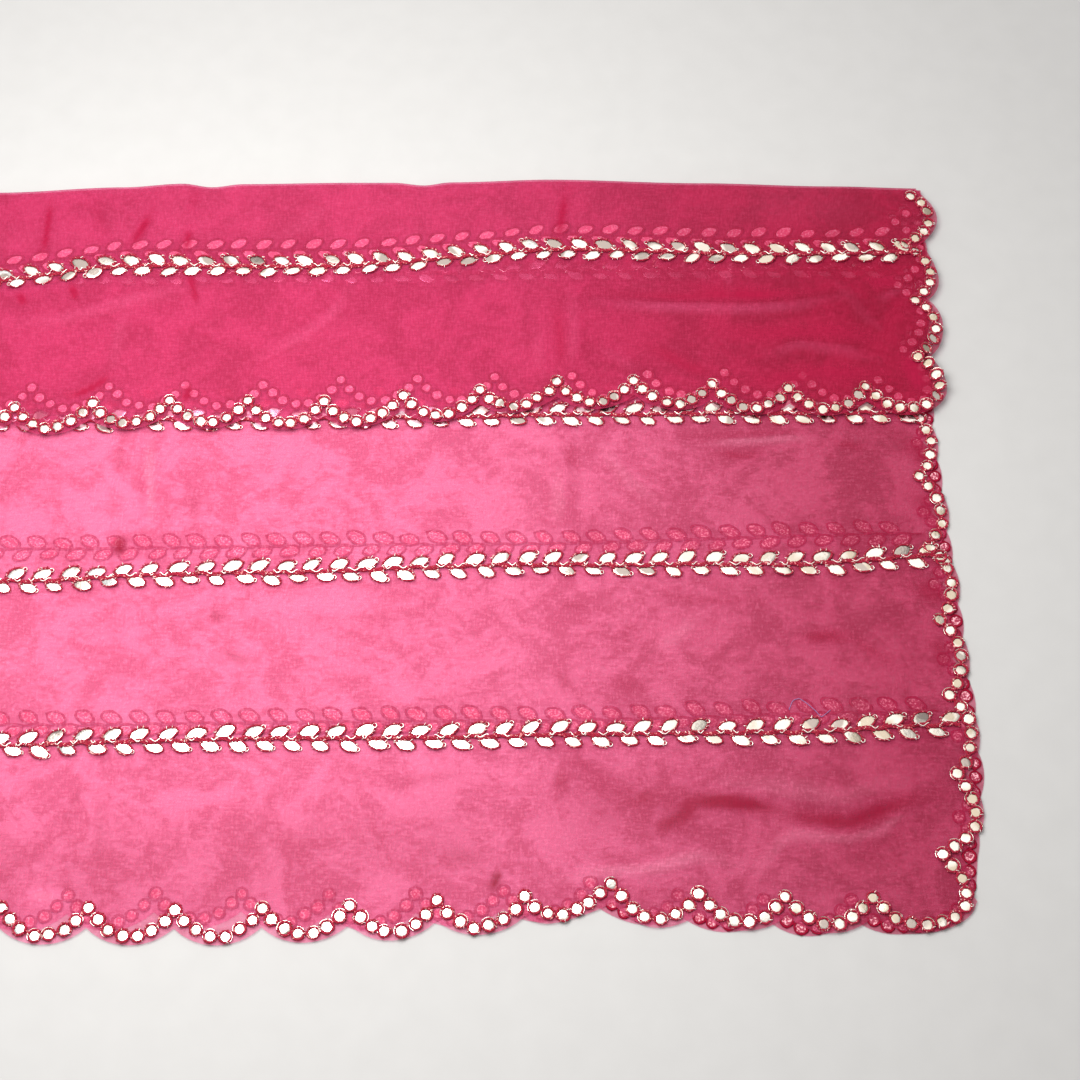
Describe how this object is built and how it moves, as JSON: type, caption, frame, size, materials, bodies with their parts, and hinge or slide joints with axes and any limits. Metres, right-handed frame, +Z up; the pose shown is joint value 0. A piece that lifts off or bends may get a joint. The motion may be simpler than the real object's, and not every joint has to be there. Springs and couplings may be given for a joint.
{
  "type": "dupatta stole",
  "caption": "Sheer scalloped stole laid flat, folded in half across its length and its long top side turned down over the front as a flap, with foil vines and a disc border.",
  "frame": {"origin": "middle of the outline in plan, on the surface that the cloth lies on", "axes": "+X along the stole to its two ends, -Y towards the viewer and the lobed hem, +Z up"},
  "size_m": [1.2106, 0.7078, 0.0097],
  "materials": {
    "organza": "sheer, slight sheen",
    "gota_foil": "pale gold metal foil on cloth",
    "crimson_thread": "twisted thread with fine metal glints"
  },
  "bodies": {
    "root": {"back_panel": "organza", "front_panel": "organza", "flap_inner": "organza", "flap_outer": "organza", "vine_front_low": "gota_foil", "vine_front_middle": "gota_foil", "vine_front_high": "gota_foil", "vine_flap": "gota_foil", "discs_front": "gota_foil", "discs_flap": "gota_foil"}
  },
  "joints": []
}
